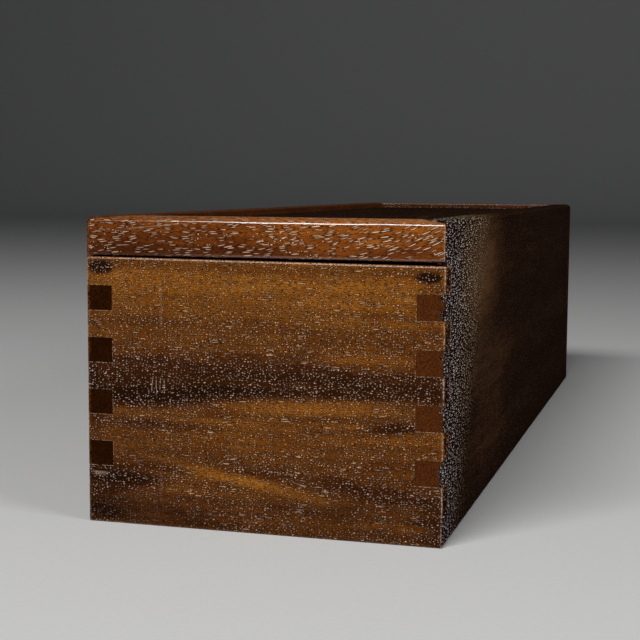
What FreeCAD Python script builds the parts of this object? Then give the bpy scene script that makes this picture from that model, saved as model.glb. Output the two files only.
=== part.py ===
import FreeCAD, Part
import Sketcher
import os
import re

# A long wooden box for shogi pieces, with a lid that slides out over a lowered front end.
# Four boards are joined with finger joints whose lowest part, and at the back whose top part, is mitred, so that
# the grooves for the floor and the lid stay hidden. The lid is a panel with a tongue round its edge, let into a
# cross rail. The rail closes the front above the lowered board, flush with the outside, and its ends are mitred
# to the side boards.
# Frame: millimetres, +Z up, origin under the middle of the box on the table. The box is long in Y and its front
# end faces -Y. Left and right are as seen from the front.

SIZES = {
    # Outside of the closed box
    "box_width": 80.0,
    "box_length": 262.0,
    "box_height": 68.0,
    # Boards, and the grooves ploughed in them for the floor and the lid
    "wall_thick": 6.0,
    "groove_deep": 3.0,
    # Floor panel: its thickness, its underside above the table, and its room to swell at each edge
    "floor_thick": 3.5,
    "floor_lift": 2.5,
    "floor_play": 0.3,
    # Corner joints: mitred foot, and the fingers of the side boards that show as squares on the ends
    "shoulder_high": 6.9,
    "finger_high": 5.5,
    "finger_count": 4,
    # Lid rail, and the slit under it, which widens from left to right
    "rail_high": 8.5,
    "rail_deep": 12.0,
    "slit_left": 0.35,
    "slit_right": 0.8,
    "rail_foot_round": 0.8,
    # Lid panel: its top below the rims, the rebates that leave its tongue, and the tongue let into the rail
    "lid_recess": 1.8,
    "lid_thick": 6.0,
    "rebate_over": 2.0,
    "rebate_under": 0.8,
    "rail_tongue": 4.0,
    # Clearances of the sliding lid: beside each edge, over and under the tongue, and at the closed mitres
    "side_play": 0.3,
    "tongue_play": 0.15,
    "mitre_gap": 0.1,
    # Rounded upper outside edges, and the eased edges elsewhere
    "top_round": 1.6,
    "arris_round": 0.5,
}

# Places that follow from the sizes
OUTER_X = "(box_width / 2)"
OUTER_Y = "(box_length / 2)"
INNER_X = "(box_width / 2 - wall_thick)"
INNER_Y = "(box_length / 2 - wall_thick)"
RAIL_FOOT = "(box_height - rail_high)"
FRONT_TOP_LEFT = f"({RAIL_FOOT} - slit_left)"
FRONT_TOP_RIGHT = f"({RAIL_FOOT} - slit_right)"
JOINT_TOP = f"({RAIL_FOOT} - (slit_left + slit_right) / 2)"
END_FINGER = f"(({JOINT_TOP} - shoulder_high - finger_count * finger_high) / (finger_count + 1))"
FINGER_PITCH = f"(finger_high + {END_FINGER})"
RAIL_BACK = "(box_length / 2 - rail_deep)"
LID_TOP = "(box_height - lid_recess)"
LID_FOOT = f"({LID_TOP} - lid_thick)"
TONGUE_FOOT = f"({LID_FOOT} + rebate_under)"
TONGUE_TOP = f"({LID_TOP} - rebate_over)"
FIELD_X = f"({INNER_X} - side_play)"

doc = FreeCAD.newDocument("shogi_piece_box")
sheet = doc.addObject("Spreadsheet::Sheet", "sizes")
for row, (name, size) in enumerate(SIZES.items(), start=1):
    sheet.set(f"A{row}", name)
    sheet.set(f"B{row}", str(size))
    sheet.setAlias(f"B{row}", name)
doc.recompute()


def cells(formula):
    """The formula with each size's name turned into its cell in the sheet."""
    return re.sub(r"[a-z_]+", r"sizes.\g<0>", str(formula))


def amount(formula):
    """The number that a formula gives."""
    return float(sheet.evalExpression(cells(formula)))


def add_sketch(body, name, role, lift="0"):
    """A sketch parallel to one of the body's own origin planes, lifted along that plane's normal."""
    sketch = body.newObject("Sketcher::SketchObject", name)
    plane = next(o for o in body.Origin.OriginFeatures if o.Role == role)
    sketch.AttachmentSupport = (plane, "")
    sketch.MapMode = "FlatFace"
    sketch.setExpression("AttachmentOffset.Base.z", cells(lift))
    return sketch


def pin_point(sketch, edge, end, across, up):
    """Hold one end of an edge at two formulas, measured from the sketch's origin."""
    for kind, formula in (("DistanceX", across), ("DistanceY", up)):
        index = sketch.addConstraint(Sketcher.Constraint(kind, -1, 1, edge, end, amount(formula)))
        sketch.setExpression(f"Constraints[{index}]", cells(formula))


def draw_polygon(sketch, corners):
    """A closed outline of straight edges; each corner is a pair of formulas."""
    first = sketch.GeometryCount
    count = len(corners)
    points = [FreeCAD.Vector(amount(across), amount(up), 0) for across, up in corners]
    for i in range(count):
        sketch.addGeometry(Part.LineSegment(points[i], points[(i + 1) % count]), False)
    for i in range(count):
        sketch.addConstraint(Sketcher.Constraint("Coincident", first + i, 2, first + (i + 1) % count, 1))
        pin_point(sketch, first + i, 1, *corners[i])


def draw_rectangle(sketch, left, right, foot, top):
    """A rectangle between two upright and two level lines."""
    draw_polygon(sketch, [(left, foot), (right, foot), (right, top), (left, top)])


def add_pad(body, name, sketch, length):
    """Raise the sketch into a solid along its own normal."""
    pad = body.newObject("PartDesign::Pad", name)
    pad.Profile = sketch
    pad.setExpression("Length", cells(length))
    return pad


def cut_through(body, name, sketch):
    """Cut the sketch through the whole piece, both ways."""
    pocket = body.newObject("PartDesign::Pocket", name)
    pocket.Profile = sketch
    pocket.SideType = "Symmetric"
    pocket.Type = "ThroughAll"
    return pocket


def cut_upwards(body, name, sketch, length):
    """Cut a level sketch upwards by a length."""
    pocket = body.newObject("PartDesign::Pocket", name)
    pocket.Profile = sketch
    pocket.Reversed = True
    pocket.setExpression("Length", cells(length))
    return pocket


def repeat_upwards(body, name, feature, pitch, count):
    """Repeat a cut up the board."""
    pattern = body.newObject("PartDesign::LinearPattern", name)
    pattern.Originals = [feature]
    pattern.Direction = (next(o for o in body.Origin.OriginFeatures if o.Role == "Z_Axis"), [""])
    pattern.Mode = "Spacing"
    pattern.setExpression("Offset", cells(pitch))
    pattern.setExpression("Occurrences", cells(count))
    body.Tip = pattern
    return pattern


def round_edges(body, name, radius, wanted):
    """Round each edge of the piece so far whose middle point is wanted."""
    doc.recompute()
    base = body.Tip
    names = []
    for i, edge in enumerate(base.Shape.Edges, start=1):
        middle = edge.valueAt((edge.FirstParameter + edge.LastParameter) / 2)
        if wanted(middle):
            names.append(f"Edge{i}")
    fillet = body.newObject("PartDesign::Fillet", name)
    fillet.Base = (base, names)
    fillet.setExpression("Radius", cells(radius))
    return fillet


def near(first, second):
    """Whether two lengths are the same, within a thousandth of a millimetre."""
    return abs(first - second) < 0.001


def add_body(name):
    """A body whose label names its piece."""
    body = doc.addObject("PartDesign::Body", name)
    body.Label = name
    return body


def cut_mitres(body, name, corners, foot, high):
    """Cut the neighbour's half out of corner squares: each corner is a triangle, cut from foot upwards."""
    sketch = add_sketch(body, f"{name}_sketch", "XY_Plane", foot)
    for corner in corners:
        draw_polygon(sketch, corner)
    cut_upwards(body, name, sketch, high)


def side_share(x_way, y_way):
    """The side board's half of a corner square, which an end board gives up."""
    outer_x = f"{x_way} * {OUTER_X}"
    inner_x = f"{x_way} * {INNER_X}"
    outer_y = f"{y_way} * {OUTER_Y}"
    inner_y = f"{y_way} * {INNER_Y}"
    return [(outer_x, outer_y), (outer_x, inner_y), (inner_x, inner_y)]


def end_share(x_way, y_way):
    """The end board's half of a corner square, which a side board gives up."""
    outer_x = f"{x_way} * {OUTER_X}"
    inner_x = f"{x_way} * {INNER_X}"
    outer_y = f"{y_way} * {OUTER_Y}"
    inner_y = f"{y_way} * {INNER_Y}"
    return [(outer_x, outer_y), (inner_x, outer_y), (inner_x, inner_y)]


def cut_end_sockets(body):
    """Cut the sockets that the side boards' fingers fill, up both edges of an end board."""
    foot = f"(shoulder_high + {END_FINGER})"
    sketch = add_sketch(body, "socket_sketch", "XZ_Plane")
    for way in ("-1", "1"):
        draw_rectangle(sketch, f"{way} * {OUTER_X}", f"{way} * {INNER_X}", foot, f"{foot} + finger_high")
    sockets = cut_through(body, "sockets", sketch)
    repeat_upwards(body, "socket_row", sockets, FINGER_PITCH, "finger_count")


def cut_end_groove(body, name, y_way, foot, top):
    """Plough a groove along the inner face of an end board, out through its mitres."""
    sketch = add_sketch(body, f"{name}_sketch", "YZ_Plane")
    inner = f"{y_way} * {INNER_Y}"
    draw_rectangle(sketch, inner, f"{y_way} * ({INNER_Y} + groove_deep)", foot, top)
    cut_through(body, name, sketch)


def make_front_end():
    """The lowered front board, whose top edge falls a little from left to right."""
    body = add_body("front_end")
    sketch = add_sketch(body, "board_sketch", "XZ_Plane", INNER_Y)
    foot_left = (f"-{OUTER_X}", "0")
    foot_right = (OUTER_X, "0")
    top_right = (OUTER_X, FRONT_TOP_RIGHT)
    top_left = (f"-{OUTER_X}", FRONT_TOP_LEFT)
    draw_polygon(sketch, [foot_left, foot_right, top_right, top_left])
    add_pad(body, "board", sketch, "wall_thick")
    face = -amount(OUTER_Y)
    round_edges(body, "eased", "arris_round", lambda p: near(p.y, face))
    cut_end_sockets(body)
    cut_mitres(body, "foot_mitres", [side_share(way, "-1") for way in ("-1", "1")], "0", "shoulder_high")
    cut_end_groove(body, "floor_groove", "-1", "floor_lift", "floor_lift + floor_thick")
    return body


def make_rear_end():
    """The full-height rear board, mitred above its fingers too, with a groove for the lid's rear tongue."""
    body = add_body("rear_end")
    sketch = add_sketch(body, "board_sketch", "XZ_Plane", f"-{OUTER_Y}")
    draw_rectangle(sketch, f"-{OUTER_X}", OUTER_X, "0", "box_height")
    add_pad(body, "board", sketch, "wall_thick")
    face = amount(OUTER_Y)
    back = amount(INNER_Y)
    top = amount("box_height")
    round_edges(body, "rounded_top", "top_round", lambda p: near(p.y, face) and near(p.z, top))
    round_edges(body, "eased", "arris_round", lambda p: near(p.y, face) or (near(p.y, back) and near(p.z, top)))
    cut_end_sockets(body)
    corners = [side_share(way, "1") for way in ("-1", "1")]
    cut_mitres(body, "foot_mitres", corners, "0", "shoulder_high")
    cut_mitres(body, "top_mitres", corners, JOINT_TOP, f"box_height - {JOINT_TOP}")
    cut_end_groove(body, "floor_groove", "1", "floor_lift", "floor_lift + floor_thick")
    cut_end_groove(body, "lid_groove", "1", f"{TONGUE_FOOT} - tongue_play", f"{TONGUE_TOP} + tongue_play")
    return body


def make_side(name, way, front_top):
    """A side board: sockets for the end boards' fingers, mitres above and below them, and two grooves.

    way is -1 on the left and 1 on the right, and front_top is where the front board's uppermost finger ends.
    """
    body = add_body(name)
    inner = f"{way} * {INNER_X}"
    lift = f"-{OUTER_X}" if way == "-1" else INNER_X
    board = add_sketch(body, "board_sketch", "YZ_Plane", lift)
    draw_rectangle(board, f"-{OUTER_Y}", OUTER_Y, "0", "box_height")
    add_pad(body, "board", board, "wall_thick")
    face = amount(f"{way} * {OUTER_X}")
    back = amount(inner)
    top = amount("box_height")
    round_edges(body, "rounded_top", "top_round", lambda p: near(p.x, face) and near(p.z, top))
    round_edges(body, "eased", "arris_round", lambda p: near(p.x, face) or (near(p.x, back) and near(p.z, top)))

    # Sockets for the end boards' fingers at both ends; the top pair reaches up to each end's own shoulder
    lower = add_sketch(body, "socket_sketch", "YZ_Plane")
    upper = add_sketch(body, "top_socket_sketch", "YZ_Plane")
    upper_foot = f"(shoulder_high + finger_count * {FINGER_PITCH})"
    for y_way, upper_top in (("-1", front_top), ("1", JOINT_TOP)):
        outer_y = f"{y_way} * {OUTER_Y}"
        inner_y = f"{y_way} * {INNER_Y}"
        draw_rectangle(lower, outer_y, inner_y, "shoulder_high", f"shoulder_high + {END_FINGER}")
        draw_rectangle(upper, outer_y, inner_y, upper_foot, upper_top)
    sockets = cut_through(body, "sockets", lower)
    repeat_upwards(body, "socket_row", sockets, FINGER_PITCH, "finger_count")
    cut_through(body, "top_sockets", upper)

    corners = [end_share(way, y_way) for y_way in ("-1", "1")]
    cut_mitres(body, "foot_mitres", corners, "0", "shoulder_high")
    cut_mitres(body, "front_mitre", corners[:1], front_top, f"box_height - {front_top}")
    cut_mitres(body, "rear_mitre", corners[1:], JOINT_TOP, f"box_height - {JOINT_TOP}")

    grooves = add_sketch(body, "groove_sketch", "XZ_Plane")
    deep = f"{way} * ({INNER_X} + groove_deep)"
    draw_rectangle(grooves, inner, deep, "floor_lift", "floor_lift + floor_thick")
    draw_rectangle(grooves, inner, deep, f"{TONGUE_FOOT} - tongue_play", f"{TONGUE_TOP} + tongue_play")
    cut_through(body, "grooves", grooves)
    return body


def make_floor_panel():
    """The floor, loose in the grooves of all four boards."""
    body = add_body("floor_panel")
    sketch = add_sketch(body, "panel_sketch", "XY_Plane", "floor_lift")
    half_wide = f"({INNER_X} + groove_deep - floor_play)"
    half_long = f"({INNER_Y} + groove_deep - floor_play)"
    draw_rectangle(sketch, f"-{half_wide}", half_wide, f"-{half_long}", half_long)
    add_pad(body, "panel", sketch, "floor_thick")
    return body


def make_lid_panel():
    """The lid's panel, rebated above and below so that a tongue is left round its edge."""
    body = add_body("lid_panel")
    tongue_x = f"({INNER_X} + groove_deep - side_play)"
    tongue_y = f"({INNER_Y} + groove_deep - side_play)"
    field_y = f"({INNER_Y} - side_play)"
    nose_y = f"({RAIL_BACK} + rail_tongue)"
    blank = add_sketch(body, "blank_sketch", "XY_Plane", LID_FOOT)
    left_edge = [(f"-{tongue_x}", tongue_y), (f"-{tongue_x}", f"-{RAIL_BACK}"), (f"-{FIELD_X}", f"-{RAIL_BACK}")]
    nose = [(f"-{FIELD_X}", f"-{nose_y}"), (FIELD_X, f"-{nose_y}")]
    right_edge = [(FIELD_X, f"-{RAIL_BACK}"), (tongue_x, f"-{RAIL_BACK}"), (tongue_x, tongue_y)]
    draw_polygon(blank, left_edge + nose + right_edge)
    add_pad(body, "blank", blank, "lid_thick")
    for name, foot, high in (("lower_rebate", LID_FOOT, "rebate_under"), ("upper_rebate", TONGUE_TOP, "rebate_over")):
        ring = add_sketch(body, f"{name}_sketch", "XY_Plane", foot)
        draw_rectangle(ring, f"-{OUTER_X}", OUTER_X, f"-{OUTER_Y}", OUTER_Y)
        draw_rectangle(ring, f"-{FIELD_X}", FIELD_X, f"-{RAIL_BACK}", field_y)
        cut_upwards(body, name, ring, high)
    return body


def make_lid_rail():
    """The cross rail at the lid's front: mitred ends in the thickness of the side boards, then a tail between them."""
    body = add_body("lid_rail")
    front = add_sketch(body, "rail_sketch", "XZ_Plane", RAIL_BACK)
    draw_rectangle(front, f"-{OUTER_X}", OUTER_X, RAIL_FOOT, "box_height")
    add_pad(body, "rail", front, "rail_deep")
    end = amount(OUTER_X)
    face = -amount(OUTER_Y)
    tail = -amount(RAIL_BACK)
    foot = amount(RAIL_FOOT)
    top = amount("box_height")
    round_edges(body, "rounded_ends", "top_round", lambda p: near(abs(p.x), end) and near(p.z, top))
    round_edges(body, "rounded_feet", "rail_foot_round", lambda p: near(abs(p.x), end) and near(p.z, foot))
    round_edges(body, "eased", "arris_round", lambda p: near(p.y, face) or (near(p.y, tail) and near(p.z, top)))

    ends = add_sketch(body, "end_sketch", "XY_Plane")
    for way in ("-1", "1"):
        outer = f"{way} * {OUTER_X}"
        field = f"{way} * {FIELD_X}"
        mitre_start = (f"{way} * ({OUTER_X} - mitre_gap)", f"-{OUTER_Y}")
        mitre_end = (field, f"-({INNER_Y} - side_play + mitre_gap)")
        tail_corners = [(field, f"-{RAIL_BACK}"), (outer, f"-{RAIL_BACK}")]
        draw_polygon(ends, [(outer, f"-{OUTER_Y}"), mitre_start, mitre_end] + tail_corners)
    cut_through(body, "mitred_ends", ends)

    groove = add_sketch(body, "groove_sketch", "YZ_Plane")
    draw_rectangle(groove, f"-({RAIL_BACK} + rail_tongue)", f"-{RAIL_BACK}", TONGUE_FOOT, TONGUE_TOP)
    cut_through(body, "panel_groove", groove)
    return body


def check_document(bodies):
    """Stop if any object failed, any cut removed nothing, or any piece isn't one valid solid."""
    for item in doc.Objects:
        if "Invalid" in item.State or "Error" in item.State:
            raise RuntimeError(f"{item.Label} failed: {item.State}")
        if item.isDerivedFrom("PartDesign::Pocket"):
            if item.Shape.Volume > item.BaseFeature.Shape.Volume - 0.001:
                raise RuntimeError(f"{item.Label} cuts nothing")
    for body in bodies:
        shape = body.Shape
        if shape.isNull() or not shape.isValid() or len(shape.Solids) != 1:
            raise RuntimeError(f"{body.Label} isn't one valid solid")


pieces = [
    make_front_end(),
    make_rear_end(),
    make_side("left_side", "-1", FRONT_TOP_LEFT),
    make_side("right_side", "1", f"({FRONT_TOP_RIGHT} + (slit_right - slit_left) * wall_thick / box_width)"),
    make_floor_panel(),
    make_lid_panel(),
    make_lid_rail(),
]
doc.recompute()
check_document(pieces)

os.makedirs("parts", exist_ok=True)
for piece in pieces:
    piece.Shape.exportStep(f"parts/{piece.Label}.step")
    box = piece.Shape.BoundBox
    print(f"{piece.Label}: {piece.Shape.Volume / 1000:.2f} cm3, z {box.ZMin:.2f} to {box.ZMax:.2f}")
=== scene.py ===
"""The looks of a long sliding-lid wooden box for shogi pieces.

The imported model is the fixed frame. Every board of it keeps its own shape and gets a wood finish worked out
from Object coordinates, cut from the same figure on its faces, edges and ends. Sizes in the classes are in
millimetres, except in the studio's, which are in metres.
"""

import logging
from dataclasses import dataclass
from enum import Enum
from functools import partial, reduce
from math import cos, radians, sin

import bpy
import numpy as np
from mathutils import Matrix, Vector


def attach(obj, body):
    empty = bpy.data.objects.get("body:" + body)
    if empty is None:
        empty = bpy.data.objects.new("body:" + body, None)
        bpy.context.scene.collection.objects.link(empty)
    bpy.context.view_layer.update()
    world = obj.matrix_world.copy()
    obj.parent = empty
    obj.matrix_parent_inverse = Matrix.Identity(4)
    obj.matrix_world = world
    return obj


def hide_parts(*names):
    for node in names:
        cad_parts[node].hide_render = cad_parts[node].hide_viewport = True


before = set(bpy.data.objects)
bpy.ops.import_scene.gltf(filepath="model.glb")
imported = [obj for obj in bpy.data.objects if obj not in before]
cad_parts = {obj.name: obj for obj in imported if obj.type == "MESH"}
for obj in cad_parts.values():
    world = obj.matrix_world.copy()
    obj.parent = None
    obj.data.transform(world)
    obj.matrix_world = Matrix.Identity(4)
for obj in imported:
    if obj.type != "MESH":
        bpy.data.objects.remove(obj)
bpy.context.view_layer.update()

LOG = logging.getLogger("piece_box")
MM = 0.001

Socket = bpy.types.NodeSocket
Value = bpy.types.NodeSocket | float
Colour = tuple[float, float, float]
Triple = tuple[float, float, float]
Place = tuple[Value, Value, Value]
Inputs = dict[str | int, Value | Colour]


class Axis(Enum):
    """One direction of the frame."""

    X = 0
    Y = 1
    Z = 2


class Grain(Enum):
    """The noises: how far each runs in millimetres, its finer layers and their strength.

    Speck and tooth run in metres.
    """

    WANDER = ((55.0, 12.0, 12.0), 2.0, 0.5)
    CLOUDS = ((8.0, 3.6, 3.6), 2.0, 0.5)
    STREAKS = ((30.0, 1.8, 1.8), 3.0, 0.55)
    FIBRES = ((5.0, 0.34, 0.34), 2.0, 0.6)
    FLECKS = ((0.9, 0.24, 0.24), 1.0, 0.5)
    TEAR = ((0.55, 0.32, 0.5), 1.0, 0.5)
    WAVE = ((9.0, 5.0, 9.0), 1.0, 0.5)
    GROUPS = ((5.5, 2.4, 9.0), 1.0, 0.5)
    SPECK = ((1.0 / 2600.0,) * 3, 1.0, 0.5)
    TOOTH = ((1.0 / 900.0,) * 3, 3.0, 0.5)


class Ramp(Enum):
    """Where a share is still 0 and where it is 1, on the scale that it measures."""

    PALE_WOOD = (0.30, 0.74)
    DASHED_WOOD = (0.25, 0.5)
    OVAL = (1.3, 0.2)
    FLECK = (0.54, 0.30)
    FIBRE = (0.30, 0.55)
    SPECK = (0.42, 0.62)
    SEAM = (0.16, 0.05)
    RIND = (-0.15, 0.15)
    RUBBED = (1.0, 0.1)
    DUSTY_LIT_EDGE = (0.42, 0.12)
    TURNED_EDGE = (0.985, 0.93)


class FinishBench:
    """Lays out the nodes of one finish and joins them."""

    def __init__(self, name: str) -> None:
        """Start an empty finish.

        Args:
            name: the material's name.
        """
        self.material = bpy.data.materials.new(name)
        self.material.use_nodes = True
        self.tree = self.material.node_tree
        self.tree.nodes.clear()

    def node(self, kind: str, inputs: Inputs | None = None, **settings: object) -> bpy.types.Node:
        """Add a node and feed its inputs.

        Args:
            kind: the node's type.
            inputs: what goes into its inputs, by their names or numbers.
            settings: its properties.

        Returns:
            The new node.
        """
        made = self.tree.nodes.new(kind)
        for key, value in settings.items():
            setattr(made, key, value)
        for key, value in (inputs or {}).items():
            self.feed(made.inputs[key], value)
        return made

    def feed(self, target: Socket, value: Value | Colour) -> None:
        """Join a socket to a value, or set it where the value is a plain number or colour.

        Args:
            target: the input socket.
            value: a socket, a number or a colour.
        """
        if isinstance(value, bpy.types.NodeSocket):
            self.tree.links.new(value, target)
        elif isinstance(value, tuple) and len(target.default_value) == 4:
            target.default_value = (*value, 1.0)
        else:
            target.default_value = value

    def maths(self, operation: str, *values: Value) -> Socket:
        """Work out one sum on up to three values."""
        return self.node("ShaderNodeMath", dict(enumerate(values)), operation=operation).outputs[0]

    def add(self, *values: Value) -> Socket:
        """Add several values up."""
        return reduce(partial(self.maths, "ADD"), values)

    def take(self, first: Value, second: Value) -> Socket:
        """Take the second value from the first."""
        return self.maths("SUBTRACT", first, second)

    def times(self, *values: Value) -> Socket:
        """Multiply several values."""
        return reduce(partial(self.maths, "MULTIPLY"), values)

    def plus(self, base: Value, value: Value, factor: Value) -> Socket:
        """Add a value times a factor to the base."""
        return self.maths("MULTIPLY_ADD", value, factor, base)

    def sway(self, base: Value, noise: Socket, width: float) -> Socket:
        """Push the base to and fro by a noise, by half the width each way."""
        return self.plus(base, self.take(noise, 0.5), width)

    def at_least(self, least: float, share: Socket) -> Socket:
        """Give the least amount at a share of 0 and 1 at a share of 1."""
        return self.plus(least, share, 1.0 - least)

    def fade(self, value: Value, start: Value, end: Value) -> Socket:
        """Give a smooth rise from 0 at start to 1 at end, or a fall where start is the larger."""
        inputs = {"Value": value, "From Min": start, "From Max": end}
        made = self.node("ShaderNodeMapRange", inputs, interpolation_type="SMOOTHSTEP", clamp=True)
        return made.outputs["Result"]

    def ramp(self, value: Value, kind: Ramp) -> Socket:
        """Give the smooth rise of a named ramp."""
        return self.fade(value, *kind.value)

    def between(self, share: Value, low: Value, high: Value) -> Socket:
        """Give low at a share of 0 and high at a share of 1."""
        inputs = {0: share, 2: low, 3: high}
        return self.node("ShaderNodeMix", inputs, data_type="FLOAT", clamp_factor=True).outputs[0]

    def tint(self, share: Value, first: Socket | Colour, second: Socket | Colour) -> Socket:
        """Lay the second colour over the first by a share."""
        made = self.node(
            "ShaderNodeMix", data_type="RGBA", blend_type="MIX", clamp_factor=True,
            inputs={0: share, 6: first, 7: second})
        return made.outputs[2]

    def point(self, x: Value, y: Value, z: Value = 0.0) -> Socket:
        """Make a point from three values."""
        return self.node("ShaderNodeCombineXYZ", {0: x, 1: y, 2: z}).outputs[0]

    def parts(self, socket: Socket) -> Place:
        """Split a point or a colour into its three values."""
        made = self.node("ShaderNodeSeparateXYZ", {0: socket})
        return made.outputs[0], made.outputs[1], made.outputs[2]

    def noise(self, place: Place, grain: Grain, out: str = "Fac") -> Socket:
        """Give a soft noise from 0 to 1.

        Args:
            place: three distances.
            grain: the kind of noise.
            out: the one value, or the colour for three separate ones.

        Returns:
            The noise.
        """
        sizes, detail, rough = grain.value
        scaled = [self.times(value, 1.0 / size) for value, size in zip(place, sizes)]
        inputs = {"Vector": self.point(*scaled), "Scale": 1.0, "Detail": detail, "Roughness": rough}
        return self.node("ShaderNodeTexNoise", inputs, noise_dimensions="3D", normalize=True).outputs[out]

    def cells(self, place: Socket, loose: float = 0.9) -> bpy.types.Node:
        """Scatter one spot in each cell of a flat net, as loose from the cell's middle as is said."""
        inputs = {"Vector": place, "Scale": 1.0, "Randomness": loose}
        return self.node("ShaderNodeTexVoronoi", inputs, voronoi_dimensions="2D", feature="F1")

    def tones(self, value: Socket, stops: tuple[tuple[float, Colour], ...]) -> Socket:
        """Turn a value into a colour by way of a row of stops.

        Args:
            value: from 0 to 1.
            stops: places and colours, from low to high.

        Returns:
            The colour.
        """
        made = self.node("ShaderNodeValToRGB", {0: value})
        steps = made.color_ramp.elements
        while len(steps) < len(stops):
            steps.new(0.5)
        for step, (place, _) in zip(steps, stops):
            step.position = place
        for step, (_, colour) in zip(steps, stops):
            step.color = (*colour, 1.0)
        return made.outputs[0]

    def finish(self, shell: bpy.types.Node) -> bpy.types.Material:
        """Join the shader to the output and give the material."""
        self.node("ShaderNodeOutputMaterial", {"Surface": shell.outputs["BSDF"]})
        return self.material


@dataclass(frozen=True)
class Cut:
    """How a board was cut from the tree: which way its grain runs, and from where in the log it came."""

    along: Axis
    across: Axis
    through: Axis
    face: float
    log_place: Triple = (0.0, 0.0, 0.0)
    ring_lean: float = 0.35
    drift: float = 1.6


@dataclass(frozen=True)
class Zone:
    """A lighter or darker patch on the broad face, as a leaning oval: a patch of growth, and in a few zones
    painted shade towards a board's edges.
    """

    along: float
    across: float
    half_long: float
    half_high: float
    rise: float
    tone: float


@dataclass(frozen=True)
class Scratch:
    """A short mark on the broad face: its middle, half its height and width, its lean and its strength."""

    along: float
    across: float
    half_high: float
    half_wide: float
    lean: float
    share: float


@dataclass(frozen=True)
class Net:
    """A net of cells with a pore in each: a cell's size, and the least and the further reach of a pore."""

    long: float
    high: float
    reach: float = 0.15
    more: float = 0.13


@dataclass(frozen=True)
class PaintedFalloff:
    """Painted fall-off of light along a board: the pale pores dim from the lit near end towards the rear.

    They show in full up to near, and from gone on only the least share of dust and the closed share of hollow
    are left. Both places hold at one height and lean with it. Between turn_from and turn_full the dust
    takes on its second colour.
    """

    near: float
    gone: float
    lean: float
    height: float
    least: float
    closed: float
    turn_from: float
    turn_full: float


@dataclass(frozen=True)
class Pores:
    """The open vessels of the wood, the pale dust of polish that lies in them, and painted shade in their
    hollows and rims.

    The dust's second colour is for pale wood, or for the far end where painted fall-off of light dims
    the pores.
    """

    dots: Net = Net(0.66, 0.50, 0.19, 0.13)
    dashes: Net = Net(4.2, 0.50, 0.15, 0.12)
    ends: Net = Net(0.60, 0.60)
    dot_few: float = 0.92
    dot_many: float = 0.74
    dot_patchy: float = 1.3
    dash_share: float = 0.8
    dash_wave: float = 0.35
    dash_rise: float = 0.0
    dash_bend: float = 0.0
    dash_bend_from: float = 5.0
    dash_from: float = 0.52
    dash_to: float = 0.60
    dash_dark: float = 0.0
    dash_ragged: float = 0.35
    group_shift: float = 70.0
    ragged: float = 0.34
    lift: float = 0.09
    filled: float = 0.25
    dust: Colour = (0.67, 0.455, 0.345)
    dust_second: Colour = (0.75, 0.405, 0.18)
    dust_dark: float = 0.92
    dust_pale: float = 0.90
    dust_end: float = 0.1
    end_open: float = 1.0
    painted_falloff: PaintedFalloff | None = None
    bare: tuple[Zone, ...] = ()
    depth: float = 0.6
    # How strongly the rims and hollows are painted with shade.
    rim_shade: float = 0.85
    hollow_shade: float = 0.9
    hollow_rough: float = 0.85


@dataclass(frozen=True)
class Seams:
    """The joints between fingers that show as fine lines on a face, by the fingers' own sizes."""

    inner: float = 34.0
    first: float = 12.905
    pitch: float = 11.505
    finger: float = 5.5
    top: float = 53.2
    below: float = 0.3
    slack: float = 0.1
    dark: float = 0.7
    dusty: float = 0.45


@dataclass(frozen=True)
class Polish:
    """Where along the board the shine of its turned edges starts and is full, and its share before that."""

    start: float
    full: float
    least: float = 0.12


@dataclass(frozen=True)
class Marks:
    """What the pores give to the surface: their hollows and rims, which carry bump and painted shade, and
    pale dust.
    """

    hollow: Socket
    rim: Socket
    dust: Socket


@dataclass(frozen=True)
class Wood:
    """One board's finish: its colours, figure, pores, wear and gloss."""

    name: str
    cut: Cut
    tones: tuple[tuple[float, Colour], ...]
    bands: tuple[tuple[float, float], ...]
    band_span: float
    pores: Pores
    end_tone: Colour
    low: Triple
    high: Triple
    zones: tuple[Zone, ...] = ()
    seams: Seams | None = None
    scratches: tuple[Scratch, ...] = ()
    polish: Polish | None = None
    shadow: Colour = (0.012, 0.0034, 0.0008)
    streak: float = 0.28
    fibre: float = 0.15
    mottle: float = 0.16
    fleck: float = 0.70
    end_blend: float = 0.08
    rind: float = 0.0
    rind_sway: float = 8.0
    rind_dust: float = 0.5
    top_fall: float = 0.0
    # The worn edges are painted a lighter tone: real wear, and in part the highlight along the arrises.
    worn_edge_and_highlight: float = 0.35
    rubbed_sway: float = 1.4
    worn_edge_and_highlight_lift: float = 0.4
    rubbed_gloss: float = 0.08
    # Pale dust along the outer edges, painted partly as the edges' highlight line.
    edge_dust_and_highlight: float = 0.0
    gloss_low: float = 0.30
    gloss_high: float = 0.48
    relief: float = 0.55
    relief_deep: float = 0.16
    rim_deep: float = 0.12
    fibre_high: float = 0.12
    cloud_high: float = 0.3
    shine: float = 0.0
    coat: float = 0.05
    coat_rough: float = 0.25
    coat_ior: float = 1.5
    edge_coat: float = 0.6
    faces_that_way: float = 0.71


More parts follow.
